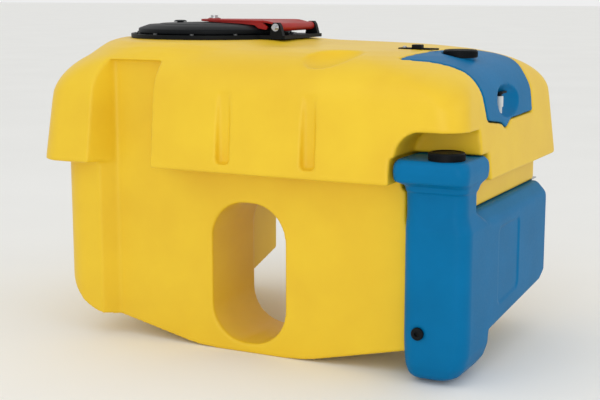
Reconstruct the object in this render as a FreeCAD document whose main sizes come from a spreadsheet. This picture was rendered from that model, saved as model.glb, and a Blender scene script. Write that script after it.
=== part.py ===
import FreeCAD, Part
import math
import os
import Sketcher
from FreeCAD import Placement, Rotation, Vector

# Crop sprayer tank set: a yellow main tank with a hinged fill lid, a blue rinse
# tank on its front right corner and a blue hand-wash tank in its right shoulder.
# X runs along the tank, -Y is the front, Z is up from the flat under the tank.

doc = FreeCAD.newDocument("SprayerTankSet")
sheet = doc.addObject("Spreadsheet::Sheet", "Sizes")
values = {}
nodes = []


def size(alias, value):
    """Put one driving size in the sheet, in millimetres."""
    row = str(len(values) + 1)
    sheet.set("A" + row, alias)
    sheet.set("B" + row, str(value))
    sheet.setAlias("B" + row, alias)
    values[alias] = float(value)


def amount(text):
    """The number that a sum such as "- hood_half_length + wall" comes to."""
    total = 0.0
    sign = 1
    for word in text.split():
        if word == "+":
            sign = 1
        elif word == "-":
            sign = -1
        else:
            total += sign * (values[word] if word in values else float(word))
            sign = 1
    return total


def formula(text):
    """The same sum as an expression that reads the sheet."""
    return " ".join("Sizes." + word if word in values else word for word in text.split())


def node(shape_object, label):
    """Mark an object as one physical piece of the assembly."""
    shape_object.Label = label
    nodes.append(shape_object)
    return shape_object


# ---------------------------------------------------------------- sketches

def new_sketch(body, name, plane, offset="0"):
    """A sketch on one of the body's own planes, moved along the plane's normal."""
    sketch = body.newObject("Sketcher::SketchObject", name)
    origin_plane = [f for f in body.Origin.OriginFeatures if f.Role == plane][0]
    sketch.AttachmentSupport = (origin_plane, [""])
    sketch.MapMode = "FlatFace"
    sketch.AttachmentOffset = Placement(Vector(0, 0, amount(offset)), Rotation())
    sketch.setExpression("AttachmentOffset.Base.z", formula(offset))
    return sketch


def bind(sketch, kind, references, text):
    """A distance or radius constraint whose value reads the sheet."""
    value = amount(text)
    if kind == "DistanceX" and abs(value) < 1e-9:
        sketch.addConstraint(Sketcher.Constraint("PointOnObject", references[2], references[3], -2))
    elif kind == "DistanceY" and abs(value) < 1e-9:
        sketch.addConstraint(Sketcher.Constraint("PointOnObject", references[2], references[3], -1))
    else:
        index = sketch.addConstraint(Sketcher.Constraint(kind, *references, value))
        sketch.setExpression("Constraints[" + str(index) + "]", formula(text))


def draw_outline(sketch, corners):
    """A closed outline of straight lines through corners given as sums of sizes."""
    points = [Vector(amount(u), amount(v), 0) for u, v in corners]
    count = len(corners)
    for i in range(count):
        sketch.addGeometry(Part.LineSegment(points[i], points[(i + 1) % count]))
    for i in range(count):
        sketch.addConstraint(Sketcher.Constraint("Coincident", i, 2, (i + 1) % count, 1))
    for i, (u, v) in enumerate(corners):
        bind(sketch, "DistanceX", (-1, 1, i, 1), u)
        bind(sketch, "DistanceY", (-1, 1, i, 1), v)


def draw_rounded(sketch, left, right, low, high, radius):
    """A rectangle with four equal round corners."""
    x0, x1 = amount(left), amount(right)
    y0, y1 = amount(low), amount(high)
    r = amount(radius)
    turn = math.pi / 2
    up = Vector(0, 0, 1)
    lines = [
        (Vector(x0 + r, y0, 0), Vector(x1 - r, y0, 0)),
        (Vector(x1, y0 + r, 0), Vector(x1, y1 - r, 0)),
        (Vector(x1 - r, y1, 0), Vector(x0 + r, y1, 0)),
        (Vector(x0, y1 - r, 0), Vector(x0, y0 + r, 0)),
    ]
    centres = [
        Vector(x1 - r, y0 + r, 0), Vector(x1 - r, y1 - r, 0),
        Vector(x0 + r, y1 - r, 0), Vector(x0 + r, y0 + r, 0),
    ]
    for i in range(4):
        sketch.addGeometry(Part.LineSegment(*lines[i]))
        circle = Part.Circle(centres[i], up, r)
        sketch.addGeometry(Part.ArcOfCircle(circle, (i - 1) * turn, i * turn))
    for i in range(4):
        sketch.addConstraint(Sketcher.Constraint("Tangent", 2 * i, 2, 2 * i + 1, 1))
        sketch.addConstraint(Sketcher.Constraint("Tangent", 2 * i + 1, 2, (2 * i + 2) % 8, 1))
        sketch.addConstraint(Sketcher.Constraint("Horizontal" if i % 2 == 0 else "Vertical", 2 * i))
    for i in range(3):
        sketch.addConstraint(Sketcher.Constraint("Equal", 2 * i + 1, 2 * i + 3))
    bind(sketch, "Radius", (1,), radius)
    bind(sketch, "DistanceY", (-1, 1, 0, 1), low)
    bind(sketch, "DistanceX", (-1, 1, 2, 1), right)
    bind(sketch, "DistanceY", (-1, 1, 4, 1), high)
    bind(sketch, "DistanceX", (-1, 1, 6, 1), left)


# ---------------------------------------------------------------- solids

def place(thing, at):
    """Bind an object's position to the sheet."""
    for axis, text in zip("xyz", at):
        thing.setExpression("Placement.Base." + axis, formula(text))


def extrude(body, sketch, name, length, backwards=False):
    pad = body.newObject("PartDesign::Pad", name)
    pad.Profile = sketch
    pad.setExpression("Length", formula(length))
    pad.Reversed = backwards
    return pad


def along(plane, start, end):
    """Sketch offset and length that fill start..end on the plane's world axis."""
    length = end + " - " + negate(start)
    if plane == "XZ_Plane":
        return flip(end), length
    return start, length


def negate(text):
    """Write a sum so that it can follow a minus sign."""
    words = []
    for word in text.split():
        words.append({"+": "-", "-": "+"}.get(word, word))
    if words[0] in "+-":
        words = words[1:] if words[0] == "-" else ["0"] + ["+"] + words[1:]
    return " ".join(words)


def flip(text):
    """The sum with its sign changed."""
    words = text.split()
    if words[0] not in "+-":
        words = ["+"] + words
    return " ".join({"+": "-", "-": "+"}.get(word, word) for word in words).removeprefix("+ ")


def prism(name, plane, corners, start, end):
    """A straight-sided block of the given outline between two levels."""
    body = doc.addObject("PartDesign::Body", name)
    offset, length = along(plane, start, end)
    sketch = new_sketch(body, name + "_outline", plane, offset)
    draw_outline(sketch, corners)
    extrude(body, sketch, name + "_pad", length)
    return body


def rounded_block(name, plane, left, right, low, high, radius, start, end):
    """A block with four round corners between two levels."""
    body = doc.addObject("PartDesign::Body", name)
    offset, length = along(plane, start, end)
    sketch = new_sketch(body, name + "_outline", plane, offset)
    draw_rounded(sketch, left, right, low, high, radius)
    extrude(body, sketch, name + "_pad", length)
    return body


TURN_TO = {
    "z": Rotation(),
    "y": Rotation(Vector(1, 0, 0), -90),
    "-y": Rotation(Vector(1, 0, 0), 90),
    "x": Rotation(Vector(0, 1, 0), 90),
}


def turned(name, profile, at, axis="z"):
    """A round piece: its half section of (radius, height) turned about its axis."""
    body = doc.addObject("PartDesign::Body", name)
    sketch = new_sketch(body, name + "_section", "XZ_Plane")
    draw_outline(sketch, profile)
    spin = body.newObject("PartDesign::Revolution", name + "_spin")
    spin.Profile = sketch
    spin.ReferenceAxis = (sketch, ["V_Axis"])
    spin.Angle = 360
    body.Placement.Rotation = TURN_TO[axis]
    place(body, at)
    return body


def rod(name, radius, length, at, axis="z"):
    """A plain cylinder standing on the given point."""
    cylinder = doc.addObject("Part::Cylinder", name)
    cylinder.setExpression("Radius", formula(radius))
    cylinder.setExpression("Height", formula(length))
    cylinder.Placement.Rotation = TURN_TO[axis]
    place(cylinder, at)
    return cylinder


def block(name, x, y, z):
    """A plain box between the given (low, high) pairs."""
    cuboid = doc.addObject("Part::Box", name)
    for side, (low, high) in zip(("Length", "Width", "Height"), (x, y, z)):
        cuboid.setExpression(side, formula(high) + " - (" + formula(low) + ")")
    place(cuboid, (x[0], y[0], z[0]))
    return cuboid


def cut(name, base, tools):
    """Take every tool out of the base."""
    result = doc.addObject("Part::Cut", name)
    result.Base = base
    result.Tool = tools[0] if len(tools) == 1 else fuse(name + "_tools", tools)
    return result


def fuse(name, parts):
    result = doc.addObject("Part::MultiFuse", name)
    result.Shapes = parts
    result.Refine = False
    return result


def common(name, parts):
    result = doc.addObject("Part::MultiCommon", name)
    result.Shapes = parts
    return result


# ---------------------------------------------------------------- sizes

# Walls and gaps
size("wall", 6)
size("gap", 4)

# Hood: the wide upper part. Each level has its height, its insets from the
# widest outline at the left, right, front and back, and its corner radius.
size("hood_half_length", 590)
size("hood_half_width", 399)
HOOD_LEVELS = [
    (469, 0, 0, 0, 0, 65),
    (600, 13, 13, 12, 13, 68),
    (660, 18, 24, 20, 22, 78),
    (709, 32, 48, 38, 42, 112),
    (737, 44, 80, 62, 62, 150),
    (752, 58, 112, 92, 88, 190),
    (764, 78, 150, 128, 118, 225),
    (770, 100, 200, 165, 150, 228),
]
for i, row in enumerate(HOOD_LEVELS):
    for word, value in zip(("level", "left", "right", "front", "back", "corner"), row):
        size("hood_" + word + "_" + str(i), value)

# Lower body: a flat-bottomed hull with sloping sides and a rising stern
size("hull_half_length", 550)
size("hull_front", -353)
size("hull_back", 345)
size("hull_corner", 75)
size("panel_front", -313)
size("foot_half_length", 146)
size("bilge_x", 470)
size("bilge_rise", 73)
size("bilge_top", 160)
size("stern_rise", 116)
size("slab_back", -86)

# Through tunnel in the front slab, and the saddle recess behind it
size("tunnel_left", -108)
size("tunnel_right", 100)
size("tunnel_low", 25)
size("tunnel_high", 385)
size("tunnel_corner", 94)
size("saddle_half", 268)
size("saddle_high", 430)
size("saddle_corner", 90)

# Strap channel and the two ribs' grooves in the hood's front
size("channel_left", -421)
size("channel_right", -235)
size("channel_high", 745)
size("groove_width", 32)
size("groove_1", -45)
size("groove_2", 184)
size("groove_low", 489)
size("groove_high", 664)
size("groove_floor", -380)

# Deck seat for the fill ring
size("fill_x", -278)
size("seat_level", 780)
size("seat_radius", 238)
size("seat_foot_radius", 256)
size("seat_foot_level", 735)
size("fill_hole_radius", 172)

# Fill ring and its fixings
size("ring_radius", 227.5)
size("ring_gasket", 2)
size("ring_flange", 9)
size("ring_collar_outer", 184)
size("ring_collar_inner", 176)
size("ring_collar_level", 806)
size("ring_lip_inner", 168)
size("ring_lip_level", 796)
size("lug_outer", 191)
size("lug_low", 800)
size("ring_screw_circle", 217)
size("screw_radius", 3)
size("screw_head_radius", 5.5)
size("screw_head", 4)

# Strainer basket hanging in the fill opening
size("basket_flange_radius", 175)
size("basket_flange", 3)
size("basket_top_radius", 164)
size("basket_foot_radius", 148)
size("basket_depth", 240)
size("basket_skin", 3)
size("basket_window", 44)
size("basket_window_low", 35)

# Lid cover
size("cover_radius", 207)
size("cover_skirt_inner", 196)
size("cover_low", 793)
size("cover_edge_level", 805)
size("cover_flat_radius", 180)
size("cover_flat_level", 815)
size("cover_crown_level", 820)
size("cover_inner_level", 809)
size("cover_lug_inner", 187)
size("cover_lug", 5)
size("seal_level", 806)
size("vent_offset", 110)
size("vent_bore", 9)
size("vent_cap", 18)

# Hinge and arm of the lid
size("hinge_x", -30)
size("hinge_level", 812)
size("pin_radius", 6)
size("arm_bore_radius", 6.05)
size("arm_barrel_radius", 11)
size("arm_half_width", 95)
size("arm_tip_half_width", 28)
size("arm_low", 823)
size("arm_high", 831)
size("ear_gap", 1)
size("ear_width", 14)
size("pivot_bolt_radius", 6)
size("pivot_bolt_low", 790)
size("pin_half_length", 122)
size("clip_from_end", 10)
size("clip_thickness", 1.5)
size("pivot_bore_radius", 6.05)

# Rinse tank
size("rinse_wall", 5)
size("rinse_head_left", 422)
size("rinse_left", 440)
size("rinse_right", 588)
size("rinse_head_front", -397)
size("rinse_head_back", -215)
size("rinse_front", -362)
size("rinse_column_back", -164)
size("rinse_foot", 8)
size("rinse_head_low", 466)
size("rinse_head_high", 530)
size("rinse_corner", 30)
size("wing_inner", 470)
size("wing_back", 290)
size("wing_low_front", 96)
size("wing_low_back", 132)
size("wing_high", 398)
size("wing_bevel_x", 560)
size("wing_bevel_level", 370)
size("notch_high", 594)
size("notch_back", -262)
size("notch_corner", 60)

# Screw caps and their necks
size("neck_bore", 30)
size("neck_radius", 36)
size("neck_height", 13)
size("cap_radius", 42.5)
size("cap_bore", 37)
size("cap_skirt_gap", 1)
size("cap_seal", 2.5)
size("cap_roof", 4.5)
size("rinse_cap_x", 528)
size("rinse_cap_y", -346)
size("wash_cap_x", 455)
size("wash_cap_y", -60)
size("wash_cap_seat", 744)

# Hand-wash tank and its tap
size("wash_gap", 3)
size("wash_wall", 5)
size("wash_low", 597)
size("tap_y", -47)
size("tap_level", 640)
size("tap_x", 552)
size("tap_shank", 8)
size("tap_flange", 14)
size("tap_pocket_x", 532)
size("tap_pocket_front", -105)
size("tap_pocket_back", 12)
size("tap_pocket_high", 694)
size("spill_x", 545)
size("spill_half", 32)
size("spill_low", 572)

# Drain plug, outlet, clamp and bracket
size("drain_x", 468)
size("drain_level", 125)
size("outlet_x", 190)
size("outlet_level", 105)
size("outlet_bore", 15)
size("outlet_thread", 20.955)
size("outlet_shank", 24)
size("outlet_flange", 36)
size("clamp_x", 318)
size("clamp_low", 770)
size("clamp_high", 776)
size("bracket_left", 486)
size("bracket_right", 544)
size("bracket_skin", 3)
size("bracket_low", 360)
size("bracket_shelf_length", 44)
size("bracket_screw_1", 500)
size("bracket_screw_2", 530)
size("bracket_screw_y", 320)
size("bracket_screw_level", 375)
size("clamp_y", -60)


# ---------------------------------------------------------------- main tank

def hood_form(name, skin, low):
    """The hood's form, drawn in by skin on every side, from the level low up."""
    body = doc.addObject("PartDesign::Body", name)
    sections = []
    for i in range(len(HOOD_LEVELS)):
        tag = "_" + str(i)
        level = low if i == 0 else "hood_level" + tag + " - " + skin
        sketch = new_sketch(body, name + "_level" + tag, "XY_Plane", level)
        draw_rounded(
            sketch,
            "- hood_half_length + hood_left" + tag + " + " + skin,
            "hood_half_length - hood_right" + tag + " - " + skin,
            "- hood_half_width + hood_front" + tag + " + " + skin,
            "hood_half_width - hood_back" + tag + " - " + skin,
            "hood_corner" + tag + " - " + skin,
        )
        sections.append(sketch)
    loft = body.newObject("PartDesign::AdditiveLoft", name + "_loft")
    loft.Profile = sections[0]
    loft.Sections = sections[1:]
    loft.Ruled = True
    return body


def hull_form(name, skin, top):
    """The lower body's form, drawn in by skin, up to the level top."""
    front_view = prism(name + "_front_view", "XZ_Plane", [
        ("- foot_half_length", skin),
        ("foot_half_length", skin),
        ("bilge_x", "bilge_rise + " + skin),
        ("hull_half_length - " + skin, "bilge_top + " + skin),
        ("hull_half_length - " + skin, top),
        ("- hull_half_length + " + skin, top),
        ("- hull_half_length + " + skin, "bilge_top + " + skin),
        ("- bilge_x", "bilge_rise + " + skin),
    ], "hull_front - 10", "hull_back + 10")
    side_view = prism(name + "_side_view", "YZ_Plane", [
        ("hull_front - 10", skin),
        ("slab_back", skin),
        ("hull_back + 10", "stern_rise + " + skin),
        ("hull_back + 10", top + " + 10"),
        ("hull_front - 10", top + " + 10"),
    ], "- hull_half_length - 10", "hull_half_length + 10")
    plan = rounded_block(
        name + "_plan", "XY_Plane",
        "- hull_half_length + " + skin, "hull_half_length - " + skin,
        "hull_front + " + skin, "hull_back - " + skin,
        "hull_corner - " + skin, "-20", top + " + 20",
    )
    return common(name, [front_view, side_view, plan])


def hollows(name, skin):
    """Everything that is cut into the outer form, grown by skin."""
    return [
        rounded_block(
            name + "_tunnel", "XZ_Plane",
            "tunnel_left - " + skin, "tunnel_right + " + skin,
            "tunnel_low - " + skin, "tunnel_high + " + skin,
            "tunnel_corner + " + skin, "hull_front - 30", "slab_back + 30",
        ),
        rounded_block(
            name + "_saddle", "XZ_Plane",
            "- saddle_half - " + skin, "saddle_half + " + skin,
            "-200", "saddle_high + " + skin,
            "saddle_corner + " + skin, "slab_back - " + skin, "hull_back + 30",
        ),
        block(
            name + "_panel",
            ("channel_left - " + skin, "hull_half_length + 60"),
            ("hull_front - 60", "panel_front + " + skin),
            ("-60", "hood_level_0"),
        ),
        block(
            name + "_channel",
            ("channel_left - " + skin, "channel_right + " + skin),
            ("- hood_half_width - 60", "panel_front + " + skin),
            ("hood_level_0 - 20", "channel_high + " + skin),
        ),
        block(
            name + "_column",
            ("rinse_left - gap - " + skin, "hood_half_length + 60"),
            ("hull_front - 60", "rinse_column_back + gap + " + skin),
            ("-60", "hood_level_0 + " + skin),
        ),
        block(
            name + "_wing",
            ("wing_inner - gap - " + skin, "hood_half_length + 60"),
            ("hull_front - 60", "hull_back + 60"),
            ("-60", "wing_high + gap + " + skin),
        ),
        block(
            name + "_head",
            ("rinse_head_left - gap - " + skin, "hood_half_length + 60"),
            ("- hood_half_width - 60", "rinse_head_back + gap + " + skin),
            ("hood_level_0 - 20", "rinse_head_high + gap + " + skin),
        ),
        rounded_block(
            name + "_notch", "XZ_Plane",
            "rinse_head_left - gap - " + skin, "hood_half_length + 160",
            "hood_level_0 - 160", "notch_high + " + skin,
            "notch_corner + " + skin, "- hood_half_width - 60", "notch_back + " + skin,
        ),
        block(
            name + "_spill",
            ("spill_x - " + skin, "hood_half_length + 60"),
            ("tap_y - spill_half - " + skin, "tap_y + spill_half + " + skin),
            ("spill_low - " + skin, "wash_low + 10"),
        ),
    ]


def wash_pocket(name, inset, floor):
    """The space that the hand-wash tank fills in the hood's right shoulder."""
    plan = prism(name + "_plan", "XY_Plane", [
        ("400 + " + inset, "-285 + " + inset),
        ("455", "-300 + " + inset),
        ("515", "-285 + " + inset),
        ("545", "-228 + " + inset),
        ("600", "-205 + " + inset),
        ("600", "190 - " + inset),
        ("465", "190 - " + inset),
        ("410 + " + inset, "120 - " + inset),
        ("374 + " + inset, "30"),
        ("392 + " + inset, "-120"),
    ], "500", "820")
    section = prism(name + "_section", "XZ_Plane", [
        ("455 + " + inset, floor),
        ("620", floor),
        ("620", "820"),
        ("365 + " + inset, "820"),
        ("365 + " + inset, "705 + " + inset),
    ], "-420", "420")
    side = prism(name + "_side", "YZ_Plane", [
        ("220", floor),
        ("220", "820"),
        ("-310 + " + inset, "820"),
        ("-310 + " + inset, "722 + " + inset),
        ("-215 + " + inset, "650"),
        ("-215 + " + inset, floor),
    ], "300", "640")
    return common(name, [plan, section, side])


hood = hood_form("tank_hood", "0", "hood_level_0")
seat = doc.addObject("Part::Cone", "tank_fill_seat")
seat.setExpression("Radius1", formula("seat_foot_radius"))
seat.setExpression("Radius2", formula("seat_radius"))
seat.setExpression("Height", formula("seat_level - seat_foot_level"))
place(seat, ("fill_x", "0", "seat_foot_level"))
hull = hull_form("tank_hull", "0", "hood_level_0 + 1")
outer_form = fuse("tank_outer_form", [hood, seat, hull])

grooves = [
    block(
        "tank_groove_" + str(i),
        ("groove_" + str(i), "groove_" + str(i) + " + groove_width"),
        ("- hood_half_width - 20", "groove_floor"),
        ("groove_low", "groove_high"),
    )
    for i in (1, 2)
]
outer = cut("tank_outer", outer_form, hollows("tank_cut", "0") + grooves + [
    wash_pocket("tank_wash_pocket", "0", "wash_low"),
])

hood_inside = hood_form("tank_hood_inside", "wall", "hood_level_0 + wall")
hull_inside = hull_form("tank_hull_inside", "wall", "hood_level_0 + wall + 1")
seat_inside = rod(
    "tank_seat_inside", "fill_hole_radius + 30", "20",
    ("fill_x", "0", "seat_level - wall - 20"),
)
inside_form = fuse("tank_inside_form", [hood_inside, hull_inside, seat_inside])
groove_backs = [
    block(
        "tank_groove_back_" + str(i),
        ("groove_" + str(i) + " - wall", "groove_" + str(i) + " + groove_width + wall"),
        ("- hood_half_width - 20", "groove_floor + wall"),
        ("groove_low - wall", "groove_high + wall"),
    )
    for i in (1, 2)
]
inside = cut("tank_inside", inside_form, hollows("tank_keep", "wall") + groove_backs + [
    wash_pocket("tank_wash_keep", "- wall", "wash_low - wall"),
])

shell = cut("tank_shell", outer, [inside])

SCREW_TURNS = range(15, 360, 30)


def ring_of_rods(name, radius, length, level):
    """One rod at each of the fill ring's screw places."""
    rods = []
    for turn in SCREW_TURNS:
        piece = rod(name + "_" + str(turn), radius, length, ("fill_x", "0", level))
        for axis, wave, centre in (("x", "cos", "Sizes.fill_x"), ("y", "sin", "0")):
            offset = "Sizes.ring_screw_circle * " + wave + "(" + str(turn) + " deg)"
            piece.setExpression("Placement.Base." + axis, centre + " + " + offset)
        rods.append(piece)
    return rods


fill_hole = rod("tank_fill_hole", "fill_hole_radius", "60", ("fill_x", "0", "seat_level - 40"))
deck_holes = ring_of_rods("tank_screw_hole", "screw_radius", "20", "seat_level - 15")
outlet_hole = rod(
    "tank_outlet_hole", "outlet_shank", "60", ("outlet_x", "slab_back - 30", "outlet_level"), "y",
)
BRACKET_SCREWS = ("bracket_screw_1", "bracket_screw_2")
clamp_hole = rod("tank_clamp_hole", "screw_radius", "40", ("clamp_x - 10", "clamp_y", "750"))
bracket_holes = [
    rod("tank_bracket_hole_" + str(i), "screw_radius", "20", (x, "bracket_screw_y", "wing_high"))
    for i, x in enumerate(BRACKET_SCREWS)
]
node(cut("main_tank", shell, [fill_hole, outlet_hole, clamp_hole] + deck_holes + bracket_holes),
     "main_tank")

# ---------------------------------------------------------------- fill ring

# Rubber gasket between the deck and the ring
gasket_disc = turned("ring_gasket_disc", [
    ("fill_hole_radius + 2", "0"),
    ("ring_radius - 1", "0"),
    ("ring_radius - 1", "ring_gasket"),
    ("fill_hole_radius + 2", "ring_gasket"),
], ("fill_x", "0", "seat_level"))
node(cut("fill_ring_gasket", gasket_disc, ring_of_rods(
    "gasket_hole", "screw_radius", "10", "seat_level - 2")), "fill_ring_gasket")

# Moulded ring with a collar for the lid, an inner lip for the basket,
# three bayonet lugs and the two hinge ears
ring_body = turned("fill_ring_body", [
    ("ring_lip_inner", "seat_level + ring_gasket"),
    ("ring_radius", "seat_level + ring_gasket"),
    ("ring_radius", "seat_level + ring_gasket + ring_flange"),
    ("ring_collar_outer", "seat_level + ring_gasket + ring_flange"),
    ("ring_collar_outer", "ring_collar_level"),
    ("ring_collar_inner", "ring_collar_level"),
    ("ring_collar_inner", "ring_lip_level"),
    ("ring_lip_inner", "ring_lip_level"),
], ("fill_x", "0", "0"))

LUG_HALF_ANGLE = 14
LUG_TURNS = (60, 180, 300)


def lug(name, inner, outer, low, high, turn):
    """A short piece of a flat ring, centred on the given turn."""
    piece = doc.addObject("PartDesign::Body", name)
    sketch = new_sketch(piece, name + "_section", "XZ_Plane")
    draw_outline(sketch, [(inner, low), (outer, low), (outer, high), (inner, high)])
    spin = piece.newObject("PartDesign::Revolution", name + "_spin")
    spin.Profile = sketch
    spin.ReferenceAxis = (sketch, ["V_Axis"])
    spin.Angle = 2 * LUG_HALF_ANGLE
    piece.Placement.Rotation = Rotation(Vector(0, 0, 1), turn - LUG_HALF_ANGLE)
    place(piece, ("fill_x", "0", "0"))
    return piece


ring_lugs = [
    lug("ring_lug_" + str(turn), "ring_collar_outer - 1", "lug_outer", "lug_low",
        "ring_collar_level - 1", turn + 40)
    for turn in LUG_TURNS
]
ear_plate = block(
    "ring_ear_plate", ("hinge_x - 60", "hinge_x + 26"),
    ("- arm_half_width - ear_gap - ear_width", "arm_half_width + ear_gap + ear_width"),
    ("seat_level + ring_gasket", "seat_level + ring_gasket + ring_flange"),
)
ears = []
for side, low in (
    ("front", "- arm_half_width - ear_gap - ear_width"),
    ("back", "arm_half_width + ear_gap"),
):
    high = low + " + ear_width"
    ears.append(prism("ring_ear_" + side, "XZ_Plane", [
        ("hinge_x - 18", "seat_level + ring_gasket + 2"),
        ("hinge_x + 22", "seat_level + ring_gasket + 2"),
        ("hinge_x + 13", "hinge_level + 4"),
        ("hinge_x + 7", "hinge_level + 12"),
        ("hinge_x - 7", "hinge_level + 12"),
        ("hinge_x - 13", "hinge_level + 4"),
    ], low, high))
ring_bore = rod(
    "ring_pin_bore", "pin_radius", "260", ("hinge_x", "-130", "hinge_level"), "y",
)
plate_relief = rod(
    "ring_plate_relief", "ring_lip_inner", "60", ("fill_x", "0", "seat_level - 20"),
)
ring_solid = fuse("fill_ring_solid", [ring_body, ear_plate] + ring_lugs + ears)
node(cut("fill_ring", ring_solid, [ring_bore, plate_relief] + ring_of_rods(
    "ring_hole", "screw_radius", "30", "seat_level - 2")), "fill_ring")


def screws(name, shank_length, level):
    """Pan-head screws at every screw place of the fill ring."""
    shanks = ring_of_rods(name + "_shank", "screw_radius", shank_length, level + " - " + shank_length)
    heads = ring_of_rods(name + "_head", "screw_head_radius", "screw_head", level)
    return fuse(name, [fuse(name + "_" + str(i), [s, k]) for i, (s, k) in enumerate(zip(shanks, heads))])


node(screws("fill_ring_screws", "18", "seat_level + ring_gasket + ring_flange"), "fill_ring_screws")

# ---------------------------------------------------------------- strainer

# Moulded strainer basket, hung by its flange from the ring's inner lip
basket_cup = turned("basket_cup", [
    ("0", "0"),
    ("basket_foot_radius", "0"),
    ("basket_top_radius", "basket_depth"),
    ("basket_flange_radius", "basket_depth"),
    ("basket_flange_radius", "basket_depth + basket_flange"),
    ("basket_top_radius - basket_skin", "basket_depth + basket_flange"),
    ("basket_foot_radius - basket_skin", "basket_skin"),
    ("0", "basket_skin"),
], ("fill_x", "0", "ring_lip_level - basket_depth"))
windows = []
for turn in range(0, 180, 30):
    window = doc.addObject("Part::Box", "basket_window_" + str(turn))
    window.Length = 400
    window.setExpression("Width", formula("basket_window"))
    window.setExpression("Height", formula("basket_depth - basket_window_low - basket_window_low"))
    window.Placement.Rotation = Rotation(Vector(0, 0, 1), turn)
    for axis, wave, sign in (("x", "cos", " + "), ("y", "sin", " - ")):
        other = {"cos": "sin", "sin": "cos"}[wave]
        centre = "Sizes.fill_x" if axis == "x" else "0"
        window.setExpression(
            "Placement.Base." + axis,
            centre + " - 200 * " + wave + "(" + str(turn) + " deg)" + sign
            + "Sizes.basket_window / 2 * " + other + "(" + str(turn) + " deg)",
        )
    window.setExpression("Placement.Base.z", formula("ring_lip_level - basket_depth + basket_window_low"))
    windows.append(window)
node(cut("strainer_basket", basket_cup, windows), "strainer_basket")

# ---------------------------------------------------------------- lid cover

cover_body = turned("cover_body", [
    ("0", "cover_inner_level"),
    ("ring_collar_inner - 8", "cover_inner_level"),
    ("cover_skirt_inner", "cover_inner_level"),
    ("cover_skirt_inner", "cover_low"),
    ("cover_radius", "cover_low"),
    ("cover_radius", "cover_edge_level"),
    ("cover_flat_radius", "cover_flat_level"),
    ("60", "cover_crown_level"),
    ("0", "cover_crown_level"),
], ("fill_x", "0", "0"))
cover_lugs = [
    lug("cover_lug_" + str(turn), "cover_lug_inner", "cover_skirt_inner + 1", "cover_low",
        "cover_low + cover_lug", turn)
    for turn in LUG_TURNS
]
cover_solid = fuse("cover_solid", [cover_body] + cover_lugs)
pivot_hole = rod("cover_pivot_hole", "pivot_bolt_radius", "60", ("fill_x", "0", "780"))
vent_hole = rod("cover_vent_hole", "vent_bore", "60", ("fill_x - vent_offset", "0", "780"))
node(cut("lid_cover", cover_solid, [pivot_hole, vent_hole]), "lid_cover")

node(turned("lid_seal", [
    ("ring_collar_inner + 0.5", "seal_level"),
    ("ring_collar_outer + 1", "seal_level"),
    ("ring_collar_outer + 1", "cover_inner_level"),
    ("ring_collar_inner + 0.5", "cover_inner_level"),
], ("fill_x", "0", "0")), "lid_seal")

# Breather: a mushroom cap and stem clipped in the cover, with a flap under it
node(turned("vent_valve", [
    ("3", "cover_inner_level - 4"),
    ("11", "cover_inner_level - 4"),
    ("11", "cover_inner_level"),
    ("vent_bore", "cover_inner_level"),
    ("vent_bore", "cover_crown_level"),
    ("vent_cap", "cover_crown_level"),
    ("vent_cap", "cover_crown_level + 2"),
    ("14", "cover_crown_level + 5"),
    ("3", "cover_crown_level + 5"),
], ("fill_x - vent_offset", "0", "0")), "vent_valve")
node(turned("vent_flap", [
    ("0", "cover_inner_level - 6"),
    ("vent_bore", "cover_inner_level - 6"),
    ("vent_bore", "cover_inner_level - 4"),
    ("0", "cover_inner_level - 4"),
], ("fill_x - vent_offset", "0", "0")), "vent_flap")

# Red hinge arm: a fan-shaped plate from the hinge barrel to the lid's centre
arm_plan = prism("arm_plan", "XY_Plane", [
    ("hinge_x + 20", "- arm_half_width"),
    ("hinge_x + 20", "arm_half_width"),
    ("hinge_x - 34", "arm_half_width"),
    ("fill_x - 20", "arm_tip_half_width"),
    ("fill_x - 34", "12"),
    ("fill_x - 34", "-12"),
    ("fill_x - 20", "- arm_tip_half_width"),
    ("hinge_x - 34", "- arm_half_width"),
], "790", "850")
arm_side = prism("arm_side", "XZ_Plane", [
    ("fill_x - 40", "arm_low"),
    ("hinge_x - 38", "arm_low"),
    ("hinge_x - 6", "hinge_level - 6"),
    ("hinge_x + 4", "hinge_level + 8"),
    ("hinge_x - 30", "arm_high"),
    ("fill_x - 40", "arm_high"),
], "- arm_half_width - 5", "arm_half_width + 5")
arm_plate = common("arm_plate", [arm_plan, arm_side])
arm_barrel = rod(
    "arm_barrel", "arm_barrel_radius", "arm_half_width + arm_half_width",
    ("hinge_x", "- arm_half_width", "hinge_level"), "y",
)
arm_bore = rod("arm_bore", "arm_bore_radius", "260", ("hinge_x", "-130", "hinge_level"), "y")
arm_pivot = rod("arm_pivot_bore", "pivot_bore_radius", "60", ("fill_x", "0", "790"))
arm_solid = fuse("arm_solid", [arm_plate, arm_barrel])
node(cut("lid_arm", arm_solid, [arm_bore, arm_pivot]), "lid_arm")

node(rod(
    "lid_hinge_pin", "pin_radius", "pin_half_length + pin_half_length",
    ("hinge_x", "- pin_half_length", "hinge_level"), "y",
), "lid_hinge_pin")
clips = [
    turned("hinge_clip_" + side, [
        ("pin_radius", "0"),
        ("pin_radius + 4", "0"),
        ("pin_radius + 4", "clip_thickness"),
        ("pin_radius", "clip_thickness"),
    ], ("hinge_x", y, "hinge_level"), "y")
    for side, y in (
        ("front", "- pin_half_length + clip_from_end"),
        ("back", "pin_half_length - clip_from_end - clip_thickness"),
    )
]
node(fuse("hinge_clips", clips), "hinge_clips")

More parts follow.
